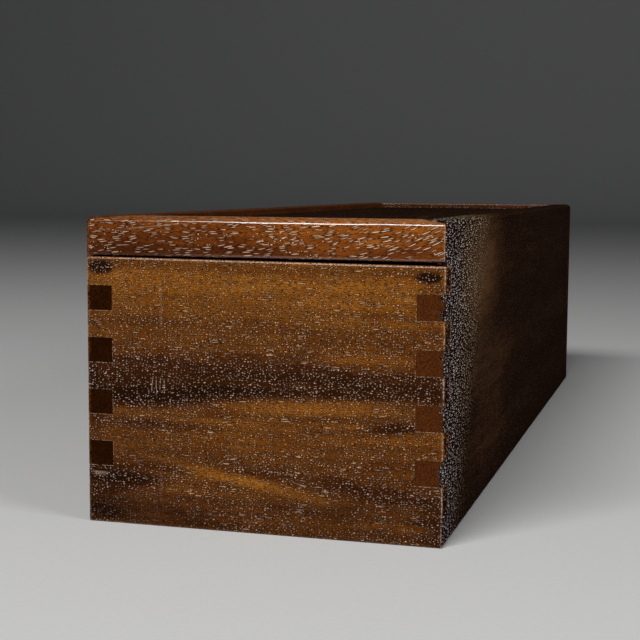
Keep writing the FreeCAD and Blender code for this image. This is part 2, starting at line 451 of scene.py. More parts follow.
class WoodFinish(FinishBench):
    """Lays out one board's finish.

    It keeps a point's place in the board in millimetres, along the grain, across the face and through the
    board. Level and inner are the last two after the grain's slow wander.
    """

    def __init__(self, wood: Wood) -> None:
        """Find the place of a point in the board, its clouds and fibres, and which way its surface looks.

        Args:
            wood: the board's finish.
        """
        super().__init__(wood.name)
        self.wood, cut = wood, wood.cut
        self.place = self.node("ShaderNodeTexCoord").outputs["Object"]
        split = self.parts(self.place)
        self.along = self.times(split[cut.along.value], 1.0 / MM)
        self.across = self.times(split[cut.across.value], 1.0 / MM)
        self.through = self.add(self.times(split[cut.through.value], 1.0 / MM), -cut.face)
        here = (self.along, self.across, self.through)
        log = tuple(self.add(value, start) for value, start in zip(here, cut.log_place))
        first, second, _ = self.parts(self.noise(log, Grain.WANDER, "Color"))
        self.level = self.sway(self.across, first, cut.drift * 2.0)
        self.inner = self.sway(self.through, second, cut.drift)
        self.in_log = (log[0], self.add(self.level, cut.log_place[1]), self.add(self.inner, cut.log_place[2]))
        self.clouds = self.noise(log, Grain.CLOUDS)
        self.fibres = self.noise(self.in_log, Grain.FIBRES)

        normal = self.parts(self.node("ShaderNodeNewGeometry").outputs["Normal"])
        self.lean = [self.maths("ABSOLUTE", part) for part in normal]
        self.on_end = self.maths("GREATER_THAN", self.lean[cut.along.value], wood.faces_that_way)
        self.on_edge = self.maths("GREATER_THAN", self.lean[cut.across.value], wood.faces_that_way)
        self.tone = self.figure()
        self.pale = self.ramp(self.tone, Ramp.PALE_WOOD)

    def arris(self) -> Socket:
        """Give the distance to the nearest outer edge: the second smallest of those to the board's faces.

        Returns:
            The distance in millimetres.
        """
        wood, near = self.wood, []
        sideways, deep, up = self.parts(self.place)
        up = self.plus(up, self.add(sideways, -wood.low[0] * MM), wood.top_fall)
        for value, low, high in zip((sideways, deep, up), wood.low, wood.high):
            middle, half = (low + high) / 2.0, (high - low) / 2.0
            offset = self.maths("ABSOLUTE", self.take(value, middle * MM))
            near.append(self.times(self.take(half * MM, offset), 1.0 / MM))
        lower = self.maths("MINIMUM", near[0], near[1])
        upper = self.maths("MAXIMUM", near[0], near[1])
        return self.maths("MAXIMUM", lower, self.maths("MINIMUM", upper, near[2]))

    def turned(self) -> Socket:
        """Give 1 on turned edges, less where the polish is worn.

        Returns:
            The share.
        """
        widest = self.maths("MAXIMUM", self.lean[0], self.maths("MAXIMUM", self.lean[1], self.lean[2]))
        turned = self.ramp(widest, Ramp.TURNED_EDGE)
        polish = self.wood.polish
        if polish:
            share = self.fade(self.along, polish.start, polish.full)
            turned = self.times(turned, self.at_least(polish.least, share))
        return turned

    def oval(self, zone: Zone) -> Socket:
        """Give how deep a point lies in a leaning oval, by its distance as a share of the half sizes.

        Args:
            zone: the oval.

        Returns:
            The share, 0 outside and 1 near the middle.
        """
        middle = self.plus(zone.across - zone.rise * zone.along, self.along, zone.rise)
        long_way = self.times(self.add(self.along, -zone.along), 1.0 / zone.half_long)
        high_way = self.times(self.take(self.level, middle), 1.0 / zone.half_high)
        squares = self.add(self.times(long_way, long_way), self.times(high_way, high_way))
        return self.ramp(self.maths("SQRT", squares), Ramp.OVAL)

    def figure(self) -> Socket:
        """Give the tone of the growth bands, from 0 for the darkest wood to 1 for the palest.

        The bands follow the distance across the board, leaned by the rings and drifting a little; oval
        patches, streaks and clouds are added to them.

        Returns:
            The tone.
        """
        wood = self.wood
        row = self.times(self.plus(self.level, self.inner, wood.cut.ring_lean), 1.0 / wood.band_span)
        stops = tuple((place, (tone, tone, tone)) for place, tone in wood.bands)
        tone = self.parts(self.tones(row, stops))[0]
        for zone in wood.zones:
            tone = self.plus(tone, self.oval(zone), zone.tone)
        streaks = self.noise(self.in_log, Grain.STREAKS)
        return self.sway(self.sway(tone, streaks, wood.streak * 2.0), self.clouds, wood.mottle * 2.0)

    def strew(self, run: Socket, side: Socket, cell: tuple[Value, Value], net: Net) -> tuple[Marks, Socket]:
        """Lay one pore in each cell of a net.

        The hollow is an oval round the cell's spot; its rim reaches to twice that, and both are painted with
        shade later. The dust lies a little higher than the hollow, so that a dark lip of painted shadow is
        left under it as if the light fell from above, and fills one pore well and the next hardly at all.

        Args:
            run: the distance along the grain in millimetres.
            side: the distance across it.
            cell: cells in a millimetre along the grain and across it.
            net: how far a pore reaches in its cell.

        Returns:
            The pores, and each cell's own luck.
        """
        pores = self.wood.pores
        place = self.point(self.times(run, cell[0]), self.times(side, cell[1]))
        spots = self.cells(place)
        luck, glow, girth = self.parts(spots.outputs["Color"])
        reach = self.plus(net.reach, girth, net.more)
        gap = spots.outputs["Distance"]
        # Shift the dust up from the hollow, leaving a lip of painted shadow below it.
        lowered = {0: place, 1: (0.0, -pores.lift, 0.0)}
        lifted = self.node("ShaderNodeVectorMath", lowered, operation="ADD").outputs["Vector"]
        pair = {0: lifted, 1: spots.outputs["Position"]}
        apart = self.node("ShaderNodeVectorMath", pair, operation="DISTANCE").outputs["Value"]
        covered = self.fade(apart, self.times(reach, 1.05), self.times(reach, 0.55))
        marks = Marks(
            hollow=self.fade(gap, reach, self.times(reach, 0.6)),
            rim=self.fade(gap, self.times(reach, 2.0), reach),
            dust=self.times(covered, self.at_least(pores.filled, self.times(glow, glow))))
        return marks, luck

    def amounts(self) -> tuple[Socket, Socket]:
        """Give how much dust the pores hold, and how far they are open.

        Returns:
            The share of dust and the share of hollow.
        """
        pores, painted_falloff = self.wood.pores, self.wood.pores.painted_falloff
        on_face = self.between(self.pale, pores.dust_dark, pores.dust_pale)
        dusty = self.between(self.on_end, on_face, pores.dust_end)
        for zone in pores.bare:
            dusty = self.times(dusty, self.plus(1.0, self.oval(zone), -zone.tone))
        opened = self.plus(1.0, self.on_end, pores.end_open - 1.0)
        # Painted fall-off of light: the pale dust and the hollows dim towards the rear of the board.
        if painted_falloff:
            leaned = self.plus(self.along, self.add(self.across, -painted_falloff.height), -painted_falloff.lean)
            near = self.fade(leaned, painted_falloff.gone, painted_falloff.near)
            dusty = self.times(dusty, self.at_least(painted_falloff.least, near))
            opened = self.times(opened, self.at_least(painted_falloff.closed, near))
        return dusty, opened

    def pore_marks(self) -> Marks:
        """Give the pores: dots where the grain dives into the face, and dashes in groups where it runs along.

        Dots fill a flat net of cells on the face, edge or end that shows; dashes fill a longer net, which
        rises, bends and waves along the board. A fine noise makes both ragged.

        Returns:
            The hollows, rims and dust.
        """
        pores, on_end, through = self.wood.pores, self.on_end, self.through
        side = self.between(on_end, self.between(self.on_edge, self.across, through), through)
        run = self.between(on_end, self.along, self.across)
        tear_run, tear_side, _ = self.parts(self.noise((run, side, through), Grain.TEAR, "Color"))
        torn_run = self.sway(run, tear_run, pores.ragged * 2.0)
        torn_side = self.sway(side, tear_side, pores.ragged)
        calm_side = self.sway(side, tear_side, pores.ragged * pores.dash_ragged)

        cell = (
            self.between(on_end, 1.0 / pores.dots.long, 1.0 / pores.ends.long),
            self.between(on_end, 1.0 / pores.dots.high, 1.0 / pores.ends.high))
        dots, luck = self.strew(torn_run, torn_side, cell, pores.dots)
        dotted = self.between(self.pale, pores.dot_many, pores.dot_few)
        patch = self.sway(dotted, self.clouds, pores.dot_patchy)
        dot_there = self.maths("LESS_THAN", luck, patch)

        wave = self.noise((run, side, through), Grain.WAVE)
        climb = self.maths("MAXIMUM", self.add(run, -pores.dash_bend_from), 0.0)
        bent = self.plus(calm_side, self.times(climb, climb), -pores.dash_bend)
        waved = self.sway(self.plus(bent, run, -pores.dash_rise), wave, pores.dash_wave * 4.0)
        cell = (1.0 / pores.dashes.long, 1.0 / pores.dashes.high)
        dashes, luck = self.strew(torn_run, waved, cell, pores.dashes)
        groups = self.noise((self.add(run, pores.group_shift), waved, through), Grain.GROUPS)
        dash_there = self.times(
            self.fade(groups, pores.dash_from, pores.dash_to),
            self.between(self.ramp(self.tone, Ramp.DASHED_WOOD), pores.dash_dark, 1.0),
            self.maths("LESS_THAN", luck, pores.dash_share),
            self.take(1.0, on_end))

        def stronger(dot: Socket, dash: Socket, amount: Socket) -> Socket:
            """Give the stronger of a dot and a dash that are there, times an amount."""
            return self.times(
                self.maths("MAXIMUM", self.times(dot, dot_there), self.times(dash, dash_there)), amount)

        dusty, opened = self.amounts()
        return Marks(
            hollow=stronger(dots.hollow, dashes.hollow, opened), rim=stronger(dots.rim, dashes.rim, opened),
            dust=stronger(dots.dust, dashes.dust, dusty))

    def scratch_marks(self) -> Socket:
        """Give the scratches, each strong near its own leaning line and between its ends, broken by fibres.

        Returns:
            The share of the mark, from 0 to 1.
        """
        total: Value = 0.0
        for mark in self.wood.scratches:
            up = self.add(self.across, -mark.across)
            off = self.maths("ABSOLUTE", self.plus(self.add(self.along, -mark.along), up, -mark.lean))
            inside = self.fade(self.maths("ABSOLUTE", up), mark.half_high, mark.half_high * 0.6)
            line = self.times(self.fade(off, mark.half_wide, mark.half_wide * 0.3), inside, mark.share)
            total = self.maths("MAXIMUM", line, total)
        return self.times(total, self.ramp(self.fibres, Ramp.FIBRE))

    def seam_line(self, seams: Seams) -> Socket:
        """Give the fine lines round the fingers: near a finger's foot or top, and near its inner end.

        Height within the pitch is measured from the first finger's foot. The level lines are where it is
        near 0, the finger's height or the pitch, outside the inner end; the upright line is where the
        sideways distance is near the inner end, beside a finger.

        Args:
            seams: the fingers' sizes.

        Returns:
            The share of the line, from 0 to 1.
        """
        sideways, _, height = self.parts(self.place)
        out = self.maths("ABSOLUTE", self.times(sideways, 1.0 / MM))
        up = self.add(self.times(height, 1.0 / MM), -seams.first)
        turn = self.maths("FLOORED_MODULO", up, seams.pitch)
        foot = self.maths("MINIMUM", turn, self.take(seams.pitch, turn))
        level = self.maths("MINIMUM", foot, self.maths("ABSOLUTE", self.add(turn, -seams.finger)))
        flat = self.times(
            self.ramp(level, Ramp.SEAM), self.maths("GREATER_THAN", out, seams.inner - seams.slack))
        upright = self.times(
            self.ramp(self.maths("ABSOLUTE", self.add(out, -seams.inner)), Ramp.SEAM),
            self.maths("LESS_THAN", turn, seams.finger))
        within = self.times(
            self.maths("GREATER_THAN", up, -seams.below),
            self.maths("LESS_THAN", up, seams.top - seams.first))
        return self.times(self.maths("MAXIMUM", flat, upright), within)

    def shell(self, colour: Socket, marks: Marks, worn: Socket) -> bpy.types.Material:
        """Give the colour its gloss, its relief and a coat on the turned edges.

        Args:
            colour: the finished colour.
            marks: the pores.
            worn: 1 on worn edges, which are glossier here, and painted lighter as a highlight in lay.

        Returns:
            The material.
        """
        wood = self.wood
        haze = self.plus(self.times(self.clouds, 0.5), self.fibres, 0.5)
        rough = self.between(haze, wood.gloss_low, wood.gloss_high)
        rough = self.between(marks.hollow, rough, wood.pores.hollow_rough)
        height = self.add(
            self.times(marks.hollow, -wood.pores.depth), self.times(marks.rim, -wood.rim_deep),
            self.times(self.fibres, wood.fibre_high), self.times(self.clouds, wood.cloud_high))
        relief = self.node(
            "ShaderNodeBump", {"Strength": wood.relief, "Distance": wood.relief_deep * MM, "Height": height})
        flat_coat = self.times(self.take(1.0, self.on_end), wood.coat)
        return self.finish(self.node("ShaderNodeBsdfPrincipled", {
            "Base Color": colour,
            "Roughness": self.take(rough, self.times(worn, wood.rubbed_gloss)),
            "Normal": relief.outputs["Normal"],
            "Specular IOR Level": wood.shine,
            "Coat Weight": self.plus(flat_coat, self.turned(), wood.edge_coat),
            "Coat Roughness": wood.coat_rough,
            "Coat IOR": wood.coat_ior,
        }))

    def lay(self) -> bpy.types.Material:
        """Lay out the whole finish: the wood, then its wear with a painted edge highlight, the pores with
        painted shade, and last the dust over all of it.

        Returns:
            The material.
        """
        wood, pores = self.wood, self.wood.pores
        marks = self.pore_marks()
        dust = marks.dust
        edge = self.arris()
        fine = self.sway(self.tone, self.fibres, wood.fibre * 2.0)
        colour = self.tones(fine, wood.tones)
        colour = self.tint(self.on_end, colour, self.tint(wood.end_blend, wood.end_tone, colour))
        if wood.rind:
            depth = self.sway(self.add(self.through, wood.rind), self.clouds, wood.rind_sway)
            rind = self.times(self.ramp(depth, Ramp.RIND), self.on_end)
            colour = self.tint(rind, colour, wood.tones[0][1])
            dust = self.times(dust, self.plus(1.0, rind, wood.rind_dust / pores.dust_end))
        # The worn edges get a lighter tone: real wear, and in part a painted highlight along the arrises.
        worn = self.ramp(self.sway(edge, self.clouds, wood.rubbed_sway), Ramp.RUBBED)
        worn_edge_and_highlight = self.tones(self.add(fine, wood.worn_edge_and_highlight_lift), wood.tones)
        colour = self.tint(self.times(worn, wood.worn_edge_and_highlight), colour, worn_edge_and_highlight)
        flecks = self.noise((self.along, self.across, self.through), Grain.FLECKS)
        # Darken toward the shadow colour: the dark flecks of the wood, and painted shade in the pores' rims
        # and hollows.
        shades = [
            (self.ramp(flecks, Ramp.FLECK), wood.fleck), (marks.rim, pores.rim_shade),
            (marks.hollow, pores.hollow_shade)]

        speckle = self.ramp(self.noise(self.parts(self.place), Grain.SPECK), Ramp.SPECK)
        # Pale dust along the edges, painted partly as their highlight line.
        if wood.edge_dust_and_highlight:
            rim_dust_and_highlight = self.times(self.ramp(edge, Ramp.DUSTY_LIT_EDGE), speckle, wood.edge_dust_and_highlight)
            dust = self.maths("MAXIMUM", dust, rim_dust_and_highlight)
        if wood.seams:
            line = self.seam_line(wood.seams)
            shades.append((line, wood.seams.dark))
            dust = self.maths("MAXIMUM", dust, self.times(line, speckle, wood.seams.dusty))
        for share, strength in shades:
            colour = self.tint(self.times(share, strength), colour, wood.shadow)
        if wood.scratches:
            colour = self.tint(self.scratch_marks(), colour, pores.dust)
        second = self.pale
        if pores.painted_falloff:
            second = self.fade(self.along, pores.painted_falloff.turn_from, pores.painted_falloff.turn_full)
        colour = self.tint(dust, colour, self.tint(second, pores.dust, pores.dust_second))
        return self.shell(colour, marks, worn)


AMBER_TONES = (
    (0.00, (0.014, 0.0046, 0.0012)),
    (0.30, (0.044, 0.0120, 0.0018)),
    (0.60, (0.132, 0.0390, 0.0043)),
    (0.85, (0.268, 0.0865, 0.0074)),
    (1.00, (0.345, 0.1250, 0.0135)),
)
RAIL_TONES = (
    (0.00, (0.034, 0.0080, 0.0018)),
    (0.35, (0.094, 0.0212, 0.0028)),
    (0.70, (0.230, 0.0620, 0.0070)),
    (1.00, (0.400, 0.1220, 0.0120)),
)
PLUM_TONES = (
    (0.00, (0.006, 0.0026, 0.0018)),
    (0.40, (0.016, 0.0068, 0.0042)),
    (0.75, (0.046, 0.0200, 0.0090)),
    (1.00, (0.100, 0.0460, 0.0180)),
)
QUIET_BANDS = ((0.0, 0.35), (0.18, 0.60), (0.31, 0.30), (0.47, 0.66), (0.62, 0.38), (0.78, 0.62), (1.0, 0.40))
REAR_BANDS = ((0.0, 0.35), (0.2, 0.62), (0.33, 0.30), (0.5, 0.55), (0.66, 0.68), (0.8, 0.50), (1.0, 0.28))
DARK_BANDS = ((0.0, 0.24), (0.18, 0.40), (0.31, 0.22), (0.47, 0.44), (0.62, 0.26), (0.78, 0.40), (1.0, 0.30))
FRONT_BANDS = (
    (0.00, 0.38), (0.07, 0.42), (0.12, 0.50), (0.19, 0.44), (0.25, 0.54), (0.31, 0.60), (0.36, 0.60),
    (0.41, 0.48), (0.45, 0.24), (0.50, 0.20), (0.545, 0.34), (0.60, 0.62), (0.645, 0.58), (0.665, 0.50),
    (0.70, 0.66), (0.78, 0.86), (0.83, 0.76), (0.86, 0.56),
)
FRONT_TONE_AND_SHADE_ZONES = (
    Zone(14.0, 28.5, 26.0, 2.4, 0.05, 0.40),
    Zone(-24.0, 29.0, 26.0, 2.6, 0.05, -0.40),
    Zone(31.0, 24.6, 9.0, 1.3, 0.05, -0.44),
    Zone(-24.0, 22.8, 16.0, 1.5, -0.02, -0.30),
    Zone(-4.0, 11.6, 19.0, 1.8, -0.19, 0.46),
    Zone(28.0, 10.2, 16.0, 2.4, -0.12, -0.26),
    Zone(-31.0, 10.2, 11.0, 2.2, -0.03, -0.40),
    Zone(-36.0, 2.8, 5.0, 1.8, -0.10, -0.40),
    Zone(26.0, 38.0, 16.0, 2.2, 0.02, 0.26),
    Zone(24.0, 46.0, 20.0, 1.6, 0.04, 0.16),
    Zone(-36.6, 56.9, 3.2, 1.6, 0.0, -1.1),
    Zone(36.4, 56.2, 2.8, 1.1, 0.0, -1.0),
    # Painted shade: darker towards the lower left corner.
    Zone(-41.0, 6.0, 14.0, 9.0, 0.0, -0.26),
    Zone(-20.0, 3.0, 18.0, 4.5, 0.0, -0.04),
    # Painted shade: darker along the left edge and at the lower right corner.
    Zone(-42.0, 28.0, 6.0, 16.0, 0.0, -0.22),
    Zone(42.0, 5.0, 8.0, 8.0, 0.0, -0.24),
    Zone(39.0, 54.0, 5.0, 3.0, 0.0, -0.25),
    Zone(32.0, 3.2, 10.0, 1.2, -0.10, 0.14),
)
FRONT_BARE = (
    Zone(20.0, 5.0, 20.0, 4.5, 0.0, 0.35),
    Zone(-27.0, 3.0, 24.0, 5.0, 0.0, 0.70),
    Zone(-28.0, 17.5, 14.0, 4.0, -0.10, 0.45),
)
FRONT_SCRATCHES = (
    Scratch(-22.5, 49.0, 6.5, 0.45, 0.0, 0.07),
    Scratch(-22.6, 9.0, 4.0, 0.45, 0.0, 0.05),
    Scratch(-24.6, 31.6, 2.0, 0.16, 0.12, 0.40),
    Scratch(-23.6, 31.0, 2.2, 0.14, -0.05, 0.34),
    Scratch(-22.7, 31.8, 1.7, 0.14, 0.08, 0.42),
    Scratch(-21.8, 31.2, 1.9, 0.13, 0.0, 0.30),
    Scratch(-37.2, 11.1, 0.5, 2.6, 0.0, 0.22),
)


@dataclass
class Board:
    """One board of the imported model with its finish."""

    node: str
    wood: Wood
    weld: float = 0.001
    flat_within: float = 1.0
    sharp_from: float = 40.0
    arris: float = 0.09
    arris_steps: int = 2

    def dress(self) -> bpy.types.Object:
        """Give the board its finish and ease its sharp edges, without touching its mesh.

        Returns:
            The board's object.
        """
        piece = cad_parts[self.node]
        piece.data.materials.clear()
        piece.data.materials.append(WoodFinish(self.wood).lay())
        close = piece.modifiers.new("closed", "WELD")
        close.merge_threshold = self.weld * MM
        plain = piece.modifiers.new("plain_faces", "DECIMATE")
        plain.decimate_type = "DISSOLVE"
        plain.angle_limit = radians(self.flat_within)
        eased = piece.modifiers.new("eased_arris", "BEVEL")
        eased.width = self.arris * MM
        eased.segments = self.arris_steps
        eased.limit_method = "ANGLE"
        eased.angle_limit = radians(self.sharp_from)
        eased.use_clamp_overlap = True
        even = piece.modifiers.new("even_light", "WEIGHTED_NORMAL")
        even.keep_sharp = False
        return piece


@dataclass
class Carcase:
    """The four finger-jointed boards and the floor let into them."""

    half_wide: float = 40.0
    half_long: float = 131.0
    high: float = 68.0
    wall: float = 6.0
    front_high: float = 59.15
    front_fall: float = 0.005625
    side_deep: float = 18.0
    floor_half: tuple[float, float] = (36.7, 127.7)
    floor_foot: float = 2.5
    floor_top: float = 6.0

    def front(self) -> Wood:
        """Give the finish of the lowered front board, with its amber and dark bands."""
        return Wood(
            name="front_board_amber", tones=AMBER_TONES, end_tone=(0.012, 0.006, 0.004),
            cut=Cut(Axis.X, Axis.Z, Axis.Y, -self.half_long, (31.0, 0.0, 12.0)),
            bands=FRONT_BANDS, band_span=self.high, zones=FRONT_TONE_AND_SHADE_ZONES, top_fall=self.front_fall,
            pores=Pores(ends=Net(0.55, 2.4), dust_end=0.9, bare=FRONT_BARE),
            seams=Seams(), edge_dust_and_highlight=0.7, scratches=FRONT_SCRATCHES,
            low=(-self.half_wide, -self.half_long, 0.0),
            high=(self.half_wide, -self.half_long + self.wall, self.front_high))

    def rear(self) -> Wood:
        """Give the finish of the rear board."""
        return Wood(
            name="rear_board_brown", tones=AMBER_TONES, end_tone=(0.030, 0.010, 0.003),
            cut=Cut(Axis.X, Axis.Z, Axis.Y, self.half_long, (140.0, 52.0, 3.0)),
            bands=REAR_BANDS, band_span=self.high, pores=Pores(),
            low=(-self.half_wide, self.half_long - self.wall, 0.0),
            high=(self.half_wide, self.half_long, self.high))

    def left(self) -> Wood:
        """Give the finish of the left side board, whose end grain is dark and quiet."""
        return Wood(
            name="left_board_brown", tones=RAIL_TONES, end_tone=(0.0100, 0.0030, 0.0007),
            cut=Cut(Axis.Y, Axis.Z, Axis.X, -self.half_wide, (60.0, 9.0, 40.0)),
            bands=QUIET_BANDS, band_span=self.high, edge_coat=0.2,
            pores=Pores(dust_dark=0.4, dust_pale=0.15, dust_end=0.0),
            low=(-self.half_wide, -self.half_long, 0.0),
            high=(-self.half_wide + self.side_deep, self.half_long, self.high))

    def right(self) -> Wood:
        """Give the finish of the right side board, dark and thick with pale pores that dim towards its rear
        as painted fall-off of light.
        """
        return Wood(
            name="right_board_plum", tones=PLUM_TONES, end_tone=(0.104, 0.0270, 0.0040),
            cut=Cut(Axis.Y, Axis.Z, Axis.X, self.half_wide, (210.0, 33.0, 80.0)),
            bands=DARK_BANDS, band_span=self.high, coat=0.0, edge_coat=0.0, rind=0.5,
            pores=Pores(
                dots=Net(2.3, 0.46, 0.23, 0.13), ends=Net(0.42, 0.42), dot_few=1.0, dot_many=1.0,
                dot_patchy=0.3, ragged=0.12, filled=0.3, depth=0.8, end_open=0.5,
                dust=(0.68, 0.63, 0.64), dust_second=(0.70, 0.55, 0.38),
                dust_dark=1.0, dust_pale=1.0, dust_end=0.03,
                # Painted fall-off of light: the lit pale pores dim towards the rear.
                painted_falloff=PaintedFalloff(
                    near=-118.0, gone=-84.0, lean=0.6, height=34.0, least=0.07, closed=0.12,
                    turn_from=-127.0, turn_full=-100.0)),
            zones=(Zone(-84.0, 56.0, 34.0, 20.0, 0.1, 0.58), Zone(-70.0, 26.0, 40.0, 24.0, 0.0, 0.30)),
            low=(self.half_wide - self.side_deep, -self.half_long, 0.0),
            high=(self.half_wide, self.half_long, self.high))

    def floor(self) -> Wood:
        """Give the finish of the floor, plainer and drier than the outside."""
        wide, long = self.floor_half
        return Wood(
            name="floor_board_plain", tones=RAIL_TONES, end_tone=(0.030, 0.012, 0.004),
            cut=Cut(Axis.Y, Axis.X, Axis.Z, self.floor_top, (20.0, 75.0, 5.0)),
            bands=QUIET_BANDS, band_span=2.0 * wide, pores=Pores(dust_dark=0.3, dust_pale=0.1),
            gloss_low=0.5, gloss_high=0.7, coat=0.0,
            low=(-wide, -long, self.floor_foot), high=(wide, long, self.floor_top))

    def build(self) -> list[bpy.types.Object]:
        """Dress the five boards.

        Returns:
            Their objects.
        """
        boards = {
            "front_end": self.front(), "rear_end": self.rear(), "left_side": self.left(),
            "right_side": self.right(), "floor_panel": self.floor()}
        return [Board(node, wood).dress() for node, wood in boards.items()]


def closed_skin(name: str, rings: np.ndarray, crease: float = 32.0) -> bpy.types.Object:
    """Join rings of points into one closed skin.

    Point j of ring i is joined to point j + 1 and to ring i + 1, round and round; the first and the last
    ring are drawn together into one point each.

    Args:
        name: the piece's name.
        rings: points in metres, as rings, points of a ring, and three values.
        crease: the angle in degrees above which an edge stays sharp.

    Returns:
        The piece.
    """
    count, size = rings.shape[0] - 2, rings.shape[1]
    body = rings[1:-1].reshape(-1, 3)
    points = np.vstack([rings[:1].mean(axis=1), body, rings[-1:].mean(axis=1)])
    row, place = np.meshgrid(np.arange(count - 1), np.arange(size), indexing="ij")
    here = 1 + row * size
    after = here + (place + 1) % size
    here = here + place
    quads = np.stack([here, after, after + size, here + size], axis=-1).reshape(-1, 4)
    turn = np.arange(size)
    following = (turn + 1) % size
    last = 1 + (count - 1) * size
    first_fan = np.stack([np.zeros(size, int), 1 + following, 1 + turn], axis=-1)
    last_fan = np.stack([np.full(size, len(points) - 1), last + turn, last + following], axis=-1)
    mesh = bpy.data.meshes.new(name)
    mesh.from_pydata(points.tolist(), [], quads.tolist() + first_fan.tolist() + last_fan.tolist())
    mesh.polygons.foreach_set("use_smooth", np.ones(len(mesh.polygons), bool))
    mesh.set_sharp_from_angle(angle=radians(crease))
    mesh.update()
    piece = bpy.data.objects.new(name, mesh)
    bpy.context.scene.collection.objects.link(piece)
    return piece


@dataclass
class CrossRail:
    """The strip across the lid's front: a crowned top, a worn arris, mitred ends and a narrower tail."""

    half_wide: float = 39.9
    tail_half: float = 33.7
    front: float = -131.0
    shoulder: float = -124.8
    back: float = -119.0
    foot: float = 59.5
    top: float = 68.0
    arris: float = 0.75
    arris_high: float = 66.74
    arris_turn: float = 80.0
    foot_round: float = 0.8
    back_round: float = 0.4
    left_corner: Triple = (4.0, 2.2, 0.9)
    right_corner: Triple = (1.8, 1.5, 0.5)
    crown_end: float = -122.5
    wear: float = 0.16
    wear_waves: tuple[Triple, ...] = ((1.0, 7.3, 0.6), (0.7, 3.1, 2.0), (0.9, 17.0, 0.0))
    stations: int = 201
    cap_steps: tuple[float, ...] = (0.0, 0.2, 0.4, 0.6, 0.75, 0.86, 0.92, 0.955, 0.98, 0.992)

    def section(self, along: np.ndarray) -> np.ndarray:
        """Give the rail's outline from front to back at each place along it.

        It goes up from the rounded foot over the flat front, turns the worn arris, climbs the crown as a
        square law that levels out towards the back, and comes down the back and home along the underside.
        The arris grows and shrinks by slow waves along the rail, as hands have worn it.

        Args:
            along: places along the rail in millimetres.

        Returns:
            Depth and height for each place and each point of the outline.
        """
        waves = sum(high * np.sin(along / length + start) for high, length, start in self.wear_waves)
        arris = (self.arris * (1.0 + self.wear * waves / 2.0))[:, None]
        turn = np.linspace(0.0, 1.0, 9)[None, :]
        foot_angle = np.radians(270.0 - 90.0 * turn)
        foot_y = self.front + self.foot_round * (1.0 + np.cos(foot_angle))
        foot_z = self.foot + self.foot_round * (1.0 + np.sin(foot_angle))
        face = np.linspace(0.0, 1.0, 14)[None, 1:-1]
        face_z = (self.foot + self.foot_round) * (1.0 - face) + self.arris_high * face
        bend = np.radians(180.0 - self.arris_turn * np.linspace(0.0, 1.0, 13)[None, :])
        arris_y = self.front + arris * (1.0 + np.cos(bend))
        arris_z = self.arris_high + arris * np.sin(bend) + (self.arris - arris)
        climb = np.linspace(0.0, 1.0, 11)[None, 1:]
        from_y, from_z = arris_y[:, -1:], arris_z[:, -1:]
        crown_y = from_y + (self.crown_end - from_y) * climb
        crown_z = self.top - (self.top - from_z) * (1.0 - climb) ** 2
        back_angle = np.radians(90.0 * (1.0 - turn[:, ::2]))
        fallen = self.back_round * (1.0 - np.sin(back_angle))
        turned = self.back_round * (1.0 - np.cos(back_angle))
        level = np.linspace(self.back - self.back_round, self.front + self.foot_round, 8)[None, 1:-1]
        outline = (
            (foot_y, foot_z), (np.full_like(face_z, self.front), face_z), (arris_y, arris_z),
            (crown_y, crown_z), (self.back - turned, self.top - fallen),
            (self.back - fallen, self.foot + turned),
            (level, np.full_like(level, self.foot)))
        return np.concatenate([
            np.stack([np.broadcast_to(line, (len(along), line.shape[1])) for line in stretch], axis=-1)
            for stretch in outline], axis=1)

    def reach(self, depth: np.ndarray, height: np.ndarray, corner: Triple) -> np.ndarray:
        """Give how far the rail reaches sideways at each depth and height.

        The reach shrinks evenly from the front to the shoulder, as the mitre does, and is the tail's behind
        it; near the top it also draws in along a quarter of an ellipse, and at the very front and the foot
        along a small quarter circle.

        Args:
            depth: depths in millimetres.
            height: heights in millimetres.
            corner: how wide and how high the upper corner is rounded, and how far the upright edge.

        Returns:
            The half width in millimetres.
        """
        share = np.clip((depth - self.front) / (self.shoulder - self.front), 0.0, 1.0)
        limits = [self.half_wide + (self.tail_half - self.half_wide) * share]
        wide, high, upright = corner
        for round_off, near in (
                (wide, (height - self.top + high) / high),
                (upright, 1.0 - (depth - self.front) / upright),
                (self.foot_round, 1.0 - (height - self.foot) / self.foot_round)):
            drawn_in = 1.0 - np.sqrt(1.0 - np.clip(near, 0.0, 1.0) ** 2)
            limits.append(self.half_wide - round_off * drawn_in)
        return np.min(limits, axis=0)

    def build(self) -> bpy.types.Object:
        """Carry the outline along the rail and close its ends.

        The ends are the same outline drawn in towards its middle, laid on the surface that the reach gives.

        Returns:
            The rail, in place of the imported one.
        """
        along = np.linspace(-1.0, 1.0, self.stations)
        outline = self.section(along * self.half_wide)
        left = self.reach(outline[..., 0], outline[..., 1], self.left_corner)
        right = self.reach(outline[..., 0], outline[..., 1], self.right_corner)
        sideways = along[:, None] * np.where(along[:, None] < 0.0, left, right)
        body = np.concatenate([sideways[..., None], outline], axis=-1)
        middle = np.array([(self.front + self.back) / 2.0, (self.foot + self.top) / 2.0])
        caps = []
        ends = ((-1.0, outline[0], self.left_corner), (1.0, outline[-1], self.right_corner))
        for side, edge, corner in ends:
            drawn = middle + (edge[None] - middle) * np.array(self.cap_steps)[:, None, None]
            sideways = side * self.reach(drawn[..., 0], drawn[..., 1], corner)
            caps.append(np.concatenate([sideways[..., None], drawn], axis=-1))
        rings = np.concatenate([caps[0], body, caps[1][::-1]])
        piece = closed_skin("crowned_rail", rings * MM)
        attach(piece, "lid")
        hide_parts("lid_rail")
        return piece


